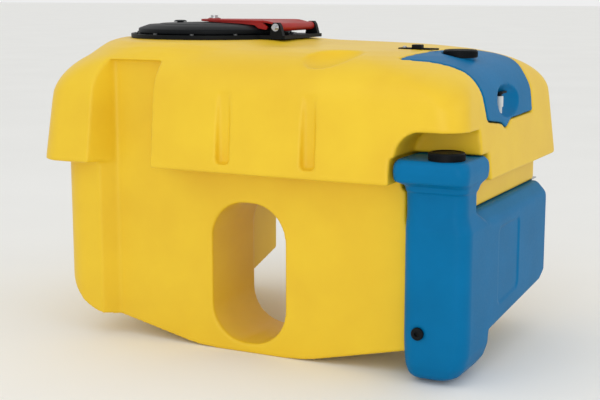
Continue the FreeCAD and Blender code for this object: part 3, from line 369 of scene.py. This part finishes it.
carve(tank, [
    ("INTERSECT", slab("Y", hull_front_view, -500, 500, 40)),
    ("INTERSECT", slab("X", hull_side_view, -700, 700, 30)),
    ("UNION", hood_form()),
    # the frame's tunnel, and the saddle recess behind it
    ("DIFFERENCE", slab("Y", box_corners(-108, 100, 25, 385), -480, 0, 94, 16)),
    ("DIFFERENCE", slab("Y", box_corners(-268, 268, -200, 430), SADDLE_FRONT, 520, 90, 12)),
    # the sunk front panel, and the strap's channel up through the hood
    ("DIFFERENCE", slab("Z", [
        (720, -460), (-424, -460), (-421, -353), (-390, PANEL), (720, PANEL),
    ], -60, RIM)),
    ("DIFFERENCE", slab("Z", [
        (-235, -460), (-428, -460), (-426, -396), (-390, PANEL), (-235, PANEL),
    ], RIM - 20, 733)),
    # the rinse tank's step: its column, the neck over it, its wing and its head
    ("DIFFERENCE", slab("Z", box_corners(425, 720, -460, COLUMN_BACK), -60, WING_TOP)),
    ("DIFFERENCE", slab("Z", box_corners(425, 720, -460, -246), 390, RIM)),
    ("DIFFERENCE", slab("Z", box_corners(466, 720, -470, 460), -60, WING_TOP)),
    ("DIFFERENCE", slab("Z", box_corners(406, 720, -480, -211), RIM - 20, 534)),
    # the notch for a hand at the rinse cap
    ("DIFFERENCE", slab("Y", box_corners(418, 780, 320, 594), -480, -262, 60, 12)),
    # the two grooves down the hood
    ("DIFFERENCE", slab("Z", box_corners(-47, -11, -460, -375), 492, 664)),
    ("DIFFERENCE", slab("Z", box_corners(182, 218, -460, -375), 492, 664)),
    # the hand-wash tank's pocket, the fill opening and the swage in the shoulder
    ("DIFFERENCE", common(wash_pocket(0))),
    ("DIFFERENCE", drum(FILL_X, 0, 545, 820, 172)),
    ("DIFFERENCE", scoop((215, -283, 760), (56, 88, 34), -31, 10)),
])
fuse_skin(tank, 4.5, 6, 190000)
# Satin, a little cloudy in tone, with the fine orange peel of a rotomoulding. The
# peel is drawn at 5 mm, coarser than the real 1 to 2 mm, so that it shows.
yellow_polyethylene = moulded_plastic(
    "rotomoulded yellow polyethylene", "#ECC62B", "#E6BD28", patch=140, grain=5, depth=0.12,
    rough=0.42, ior=1.51,
)
seat_piece(tank, "main_tank_skin", yellow_polyethylene, "tank",
           ["main_tank"])

# ---------------------------------------------------------------- fill ring
# The black ring is injection moulded polypropylene. It is screwed to the deck over
# a flat rubber gasket and carries the lid's seat, the bayonet lugs and the hinge
# ears. A strainer basket hangs in it.
black_polypropylene = moulded_plastic(
    "moulded black polypropylene", "#0B1014", "#070A0D", patch=60, grain=1.6, depth=0.05,
    rough=0.5, ior=1.49, shine=0.14,
)
black_rubber = moulded_plastic(
    "moulded black rubber", "#17181A", "#0E0F10", patch=30, grain=0.9, depth=0.04,
    rough=0.75, ior=1.52,
)
white_polypropylene = moulded_plastic(
    "moulded white polypropylene", "#DADCD8", "#CFD2CF", patch=50, grain=1.6, depth=0.04,
    rough=0.4, ior=1.49,
)


def bare_metal(name, colour, dull, grain, rough):
    """A bright metal: grain is the size of its surface marks in millimetres."""
    material = bpy.data.materials.new(name)
    material.use_nodes = True
    tree = material.node_tree
    shader = tree.nodes["Principled BSDF"]
    shader.inputs["Metallic"].default_value = 1.0
    place = put(tree, "ShaderNodeTexCoord").outputs["Object"]
    marks = put(tree, "ShaderNodeTexNoise", {"Scale": 1000 / grain, "Detail": 4.0}, Vector=place)
    blend = put(tree, "ShaderNodeValToRGB", Fac=marks.outputs["Fac"])
    blend.color_ramp.elements[0].color = linear(dull)
    blend.color_ramp.elements[1].color = linear(colour)
    tree.links.new(blend.outputs["Color"], shader.inputs["Base Color"])
    gloss = put(tree, "ShaderNodeMapRange", {"To Min": rough - 0.08, "To Max": rough + 0.08},
                Value=marks.outputs["Fac"])
    tree.links.new(gloss.outputs["Result"], shader.inputs["Roughness"])
    return material


def finish_nodes(material, *nodes):
    """Give the CAD nodes that keep their shape their real material."""
    for node in nodes:
        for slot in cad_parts[node].material_slots:
            slot.material = material


dulled_steel = bare_metal("dulled stainless steel", "#6A6C6E", "#48494B", 2.5, 0.5)
finish_nodes(black_polypropylene, "fill_ring")
finish_nodes(black_rubber, "fill_ring_gasket")
finish_nodes(dulled_steel, "fill_ring_screws")
finish_nodes(white_polypropylene, "strainer_basket")

# ---------------------------------------------------------------- lid cover
# The lid is a round black polypropylene moulding with a turned-down skirt. It has
# a rubber seal under it, a clip-in breather and a bolt through its middle, on
# which it turns under the arm to free its three lugs.


def turned(profile, x, y, segments=128):
    """A round piece: its (radius, height) outline spun about an upright axis."""
    bm = bmesh.new()
    verts = [bm.verts.new(mm(radius, 0, height)) for radius, height in profile]
    edges = [bm.edges.new(pair) for pair in zip(verts, verts[1:] + verts[:1])]
    bmesh.ops.spin(
        bm, geom=verts + edges, cent=(0, 0, 0), axis=(0, 0, 1), angle=math.tau,
        steps=segments, use_merge=True,
    )
    bmesh.ops.remove_doubles(bm, verts=bm.verts, dist=1e-6)
    bmesh.ops.dissolve_degenerate(bm, edges=bm.edges, dist=1e-6)
    bmesh.ops.recalc_face_normals(bm, faces=bm.faces)
    bmesh.ops.translate(bm, verts=bm.verts, vec=mm(x, y, 0))
    return bm


def break_edges(bm, offset, sharper_than, segments=3):
    """Round the edges that turn by more than an angle in degrees."""
    sharp = [
        edge for edge in bm.edges
        if len(edge.link_faces) == 2 and edge.calc_face_angle() > math.radians(sharper_than)
    ]
    bmesh.ops.bevel(
        bm, geom=sharp, offset=offset / 1000, offset_type="OFFSET", affect="EDGES",
        segments=segments, profile=0.5, material=-1, clamp_overlap=True,
    )
    return bm


# From the underside's middle out, down and round the skirt, and back over the top.
cover_profile = [
    (0, 809), (196, 809), (196, 793.4), (207, 793.4), (207, 804), (204.5, 806.2), (186, 812.6),
    (180, 814.6), (150, 816), (148, 817.6), (64, 819.4), (62, 820), (0, 820),
]
cover = loose(break_edges(turned(cover_profile, FILL_X, 0), 1.2, 30))
seat_piece(cover, "lid_cover_moulding", black_polypropylene, "lid_cover",
           ["lid_cover"], 30)
vent_profile = [
    (3, 805), (11, 805), (11, 809), (9, 809), (9, 820), (18, 820.2), (18, 821.6), (16.6, 823),
    (13, 824.6), (5, 825), (3, 824),
]
vent = loose(turned(vent_profile, -388, 0, 48))
seat_piece(vent, "breather_cap", black_polypropylene, "lid_cover",
           ["vent_valve"], 35)
stainless_steel = bare_metal("drawn stainless steel", "#C9CACB", "#A9ABAD", 2.5, 0.28)
finish_nodes(black_rubber, "lid_seal", "vent_flap")
finish_nodes(stainless_steel, "lid_pivot_bolt", "lid_pivot_washer", "lid_pivot_nut")
finish_nodes(black_polypropylene, "lid_pivot_spacer")

# ---------------------------------------------------------------- lid arm
# The red arm is a moulded polypropylene plate with a raised rim. It fans out from
# the lid's bolt to a barrel that turns on a steel pin between the ring's ears.
HINGE_X, HINGE_Z, ARM_HALF = -30, 812, 95
arm_outline = [
    (-26, -ARM_HALF), (-26, ARM_HALF), (-64, ARM_HALF), (-298, 28), (-308, 20), (-312, 8),
    (-312, -8), (-308, -20), (-298, -28), (-64, -ARM_HALF),
]
arm_shape = slab("Z", arm_outline, 823.2, 829.2)
arm_shape.faces.ensure_lookup_table()
arm_top = max(arm_shape.faces, key=lambda f: f.calc_center_median().z)
bmesh.ops.inset_region(arm_shape, faces=[arm_top], thickness=0.009, depth=0)
bmesh.ops.translate(arm_shape, verts=arm_top.verts, vec=mm(0, 0, -2.5))
# Cut across where the plate bends down to the barrel.
for x in (-100, -80, -66, -56, -44, -34):
    bmesh.ops.bisect_plane(
        arm_shape, geom=arm_shape.verts[:] + arm_shape.edges[:] + arm_shape.faces[:],
        plane_co=mm(x, 0, 0), plane_no=(1, 0, 0),
    )
for vert in arm_shape.verts:
    vert.co.z -= 0.0085 * smooth((vert.co.x * 1000 + 74) / 52)
break_edges(arm_shape, 1.4, 40)
arm_parts = loose(arm_shape)


def arm_skirt(side):
    """The wall turned down along one edge of the arm."""
    bm = slab("Y", [
        (0, 827.5), (0, 823), (150, 819), (198, 816), (212, 808), (240, 805), (246, 812),
        (222, 826),
    ], -2, 2)
    bmesh.ops.transform(bm, verts=bm.verts, matrix=Matrix.Rotation(math.radians(16 * side), 4, "Z"))
    bmesh.ops.translate(bm, verts=bm.verts, vec=mm(-298, 25 * side, 0))
    return bm


def on_hinge(bm):
    """The upright round shape laid along the hinge's axis."""
    bmesh.ops.transform(bm, verts=bm.verts, matrix=Matrix.Rotation(math.radians(90), 4, "X"))
    bmesh.ops.translate(bm, verts=bm.verts, vec=mm(HINGE_X, 0, HINGE_Z))
    return bm


barrel_profile = [(6.1, -ARM_HALF), (11, -ARM_HALF), (11, ARM_HALF), (6.1, ARM_HALF)]
carve(arm_parts, [
    ("UNION", arm_skirt(-1)),
    ("UNION", arm_skirt(1)),
    ("UNION", on_hinge(break_edges(turned(barrel_profile, 0, 0, 48), 0.8, 40))),
    # the boss under the bolt, with its bore
    ("UNION", drum(FILL_X, 0, 824, 831, 19, 17, segments=48)),
    ("DIFFERENCE", drum(FILL_X, 0, 780, 860, 6.2, segments=32)),
])
carve(arm_parts, [("DIFFERENCE", on_hinge(drum(0, 0, -130, 130, 6.1, segments=48)))])
red_polypropylene = moulded_plastic(
    "moulded red polypropylene", "#A81F1A", "#981A15", patch=50, grain=1.6, depth=0.05,
    rough=0.45, ior=1.49,
)
seat_piece(arm_parts, "lid_arm_moulding", red_polypropylene, "lid_arm",
           ["lid_arm"], 30)
finish_nodes(stainless_steel, "lid_hinge_pin", "hinge_clips")

# ---------------------------------------------------------------- rinse tank
# The rinse tank is a blue rotomoulding of the same polyethylene: a flat head for
# the cap, a tall column down the corner and a wing along the tank's side. It
# hangs in the main tank's step, tied by a small plated steel angle at the back.
CAP_X, CAP_Y, CAP_SEAT = 528, -346, 530
COARSE = (10, 4)  # steps round a corner and along a side
head = [
    (429, 580, -364, -250, 455, 26), (428, 583, -366, -244, 469, 26),
    (412, 591, -395, -216, 481, 26), (410, 594, -399, -215, 502, 27),
    (412, 592, -397, -217, 521, 27), (420, 584, -389, -225, 531, 27),
]
column = [
    (460, 516, -322, -218, 8, 24), (444, 542, -342, -192, 12, 28), (436, 560, -352, -177, 22, 31),
    (430, 577, -359, -168, 44, 34), (428, 586, -362, -164, 74, 35), (427, 588, -363, -164, 110, 35),
    (427, 588, -363, -164, 366, 35),
]
throat = [
    (427, 588, -363, -170, 330, 35), (427, 588, -363, -180, 366, 35),
    (428, 576, -355, -246, 400, 32), (428, 576, -355, -250, 462, 28),
]
rinse = loose(rounded_stack(head, *COARSE))
carve(rinse, [("UNION", rounded_stack(levels, *COARSE)) for levels in (column, throat)])
wing_shape = common([
    slab("Y", [(470, 80), (588, 80), (588, 370), (561, 400), (470, 400)], -326, 290),
    slab("X", [(-340, 90), (248, 133), (290, 152), (290, 400), (-340, 400)], 460, 600),
])
break_edges(wing_shape, 10, 30, 5)
carve(rinse, [
    ("UNION", wing_shape),
    # the wing's sunk panel, the way in under the cap and the dish round the plug
    ("DIFFERENCE", slab("X", [(-128, 150), (40, 162), (40, 345), (-128, 345)], 584.5, 620, 20)),
    ("DIFFERENCE", drum(CAP_X, CAP_Y, 492, 560, 30, segments=48)),
    ("DIFFERENCE", scoop((472, -362, 125), (17, 3, 17))),
])
fuse_skin(rinse, 3, 12, 150000)
blue_polyethylene = moulded_plastic(
    "rotomoulded blue polyethylene", "#006EA3", "#00689A", patch=120, grain=5, depth=0.12,
    rough=0.45, ior=1.51, shine=0.08,
)
seat_piece(rinse, "rinse_tank_skin", blue_polyethylene, "tank",
           ["rinse_tank"])


def neck(x, y, seat):
    """A short neck with a screw thread round it."""
    bm = turned([(30, -6), (34.6, -6), (34.6, 12.4), (34, 13), (30.6, 13), (30, 12.4)], 0, 0, 72)
    turns, pitch, steps = 1.6, 6, 90
    ridge = ((34.4, 1.4), (35.9, 2.4), (35.9, 3.2), (34.4, 4.2))
    verts = [bm.verts.new(mm(radius, 0, height)) for radius, height in ridge]
    edges = [bm.edges.new(pair) for pair in zip(verts, verts[1:] + verts[:1])]
    bmesh.ops.spin(
        bm, geom=[bm.faces.new(verts), *verts, *edges], cent=(0, 0, 0), axis=(0, 0, 1),
        angle=math.tau * turns, dvec=mm(0, 0, pitch * turns / steps), steps=steps,
    )
    bmesh.ops.remove_doubles(bm, verts=bm.verts, dist=1e-6)
    bmesh.ops.recalc_face_normals(bm, faces=bm.faces)
    bmesh.ops.translate(bm, verts=bm.verts, vec=mm(x, y, seat))
    return bm


def step_rings(bm, edges, rings):
    """Extrude a round edge loop through (height, radius) rings and return the last."""
    for height, radius in rings:
        made = bmesh.ops.extrude_edge_only(bm, edges=edges)["geom"]
        edges = [part for part in made if isinstance(part, bmesh.types.BMEdge)]
        for vert in [part for part in made if isinstance(part, bmesh.types.BMVert)]:
            flat = Vector((vert.co.x, vert.co.y, 0)).normalized() * radius / 1000
            vert.co = flat + mm(0, 0, height)
    return edges


def screw_cap(x, y, seat):
    """A cap with a ribbed skirt and a sunk middle."""
    ribs, skirt, inside = 72, 41.4, 37.2
    bm = bmesh.new()
    ring = bmesh.ops.create_circle(bm, segments=2 * ribs, radius=skirt / 1000)["verts"]
    bmesh.ops.translate(bm, verts=ring, vec=mm(0, 0, 1))
    edges = step_rings(bm, bm.edges[:], ((3, skirt), (16.4, skirt)))
    side = [face for face in bm.faces if face.calc_center_median().z > 0.004]
    edges = step_rings(bm, edges, ((18.6, 40.4), (20, 38), (20, 33), (18.4, 31.4), (18.4, 6)))
    bmesh.ops.contextual_create(bm, geom=edges)
    side.sort(key=lambda f: math.atan2(f.calc_center_median().y, f.calc_center_median().x))
    bmesh.ops.inset_individual(bm, faces=side[::2], thickness=0.0003, depth=0.001)
    mouth = [edge for edge in bm.edges if edge.is_boundary]
    edges = step_rings(bm, mouth, ((1, inside), (15.6, inside), (15.6, 6)))
    bmesh.ops.contextual_create(bm, geom=edges)
    bmesh.ops.remove_doubles(bm, verts=bm.verts, dist=1e-6)
    bmesh.ops.recalc_face_normals(bm, faces=bm.faces)
    bmesh.ops.translate(bm, verts=bm.verts, vec=mm(x, y, seat))
    return bm


rinse_neck = loose(neck(CAP_X, CAP_Y, CAP_SEAT))
seat_piece(rinse_neck, "rinse_tank_neck", blue_polyethylene, "tank", (), 35)
rinse_cap = loose(screw_cap(CAP_X, CAP_Y, CAP_SEAT))
seat_piece(rinse_cap, "rinse_cap_moulding", black_polypropylene, "rinse_cap",
           ["rinse_cap"], 30)
zinc_plated_steel = bare_metal("zinc plated steel", "#B9BEC2", "#9DA3A8", 4, 0.4)
finish_nodes(black_polypropylene, "rinse_drain_plug")
finish_nodes(black_rubber, "rinse_cap_seal", "rinse_drain_seal")
finish_nodes(zinc_plated_steel, "rinse_bracket", "rinse_bracket_screws")

# ---------------------------------------------------------------- hand-wash tank
# The hand-wash tank is a small blue rotomoulding that fills a pocket in the main
# tank's right shoulder, flush with the hood. It has a screw cap on top, a tap in a
# moulded hollow at the side, and a lip under the tap that drips clear.
WASH_X, WASH_Y, WASH_SEAT, TAP_Y = 455, -60, 744, -47
WALL_GAP = 3
wash = loose(hood_form())
carve(wash, [("INTERSECT", shape) for shape in wash_pocket(WALL_GAP)])
carve(wash, [
    # the cap's sunk seat, the way in, and the hollow round the tap
    ("DIFFERENCE", drum(WASH_X, WASH_Y, WASH_SEAT, 800, 47, 50, segments=64)),
    ("DIFFERENCE", drum(WASH_X, WASH_Y, 700, 800, 30, segments=48)),
    ("DIFFERENCE", scoop((592, TAP_Y + 10, 646), (50, 92, 47))),
])
fuse_skin(wash, 3, 4, 120000)
seat_piece(wash, "wash_tank_skin", blue_polyethylene, "tank", ["wash_tank"])
wash_neck = loose(neck(WASH_X, WASH_Y, WASH_SEAT))
seat_piece(wash_neck, "wash_tank_neck", blue_polyethylene, "tank", (), 35)
wash_cap = loose(screw_cap(WASH_X, WASH_Y, WASH_SEAT))
seat_piece(wash_cap, "wash_cap_moulding", black_polypropylene, "wash_cap",
           ["wash_cap"], 30)
finish_nodes(black_rubber, "wash_cap_seal", "wash_tap_seal")
finish_nodes(white_polypropylene, "wash_tap_body")
finish_nodes(black_polypropylene, "wash_tap_lever")

# ---------------------------------------------------------------- clamp
# A small black moulding screwed to the deck, whose finger reaches over the
# hand-wash tank's inner edge and holds it down.
clamp_outline = [
    (296, -74), (334, -74), (334, -70), (352, -70), (366, -64), (398, -62), (398, -56),
    (366, -54), (352, -50), (334, -50), (334, -46), (296, -46),
]
clamp_block = slab("Z", box_corners(330, 356, -72, -48), 762, 774, 5)
clamp = loose(break_edges(slab("Z", clamp_outline, 761.5, 766), 1.2, 40))
carve(clamp, [("UNION", break_edges(clamp_block, 2, 40))])
seat_piece(clamp, "wash_clamp_moulding", black_polypropylene, "tank",
           ["wash_tank_clamp"], 30)
screw_profile = [
    (0, 752), (2.4, 752), (2.4, 766), (5.4, 766), (5.4, 768), (4.4, 769.4), (2.6, 770),
    (2.2, 768), (0, 768),
]
clamp_screw = loose(turned(screw_profile, 308, -60, 32))
seat_piece(clamp_screw, "clamp_pan_screw", stainless_steel, "tank",
           ["clamp_screw"], 30)

# ---------------------------------------------------------------- outlet
# The outlet is a black polypropylene bulkhead fitting low in the saddle recess,
# clamped through the wall by its nut over a rubber gasket.
finish_nodes(black_polypropylene, "outlet_fitting", "outlet_nut")
finish_nodes(black_rubber, "outlet_gasket")

# ---------------------------------------------------------------- studio
# A pale matt floor, a soft white surround and three large soft lights. The floor and
# lights aren't part of the object.
scene = bpy.context.scene
scene.view_settings.view_transform = "Standard"
floor_shape = bmesh.new()
bmesh.ops.create_grid(floor_shape, x_segments=2, y_segments=2, size=60)
floor = loose(floor_shape, "studio_floor")
floor.data.materials.append(moulded_plastic(
    "pale studio floor", "#F4F4F1", "#F1F1EE", patch=900, grain=40, depth=0.0, rough=0.9,
    ior=1.45,
))
world = bpy.data.worlds.new("studio surround")
world.use_nodes = True
world.node_tree.nodes["Background"].inputs["Color"].default_value = linear("#FFFFFF")
world.node_tree.nodes["Background"].inputs["Strength"].default_value = 0.86
scene.world = world


def soft_light(name, place, size, power):
    """A square area light that looks at the middle of the tank."""
    data = bpy.data.lights.new(name, "AREA")
    data.size = size
    data.energy = power
    lamp = bpy.data.objects.new(name, data)
    lamp.location = place
    lamp.rotation_euler = (Vector((0, 0, 0.4)) - Vector(place)).to_track_quat("-Z", "Y").to_euler()
    lamp.visible_camera = False
    bpy.context.collection.objects.link(lamp)


soft_light("key light", (-0.6, -3.2, 3.4), 2.4, 12)
soft_light("fill light", (1.2, -3.4, 0.9), 1.6, 18)
soft_light("side light", (3.4, -0.6, 2.2), 2.0, 9)

lens = bpy.data.cameras.new("camera")
lens.lens = 73.15
lens.sensor_width = 36
camera = bpy.data.objects.new("camera", lens)
camera.location = (1.4526, -2.918, 0.912)
camera.rotation_euler = (math.radians(90 - 9.86), 0, math.radians(26.70))
bpy.context.collection.objects.link(camera)
scene.camera = camera
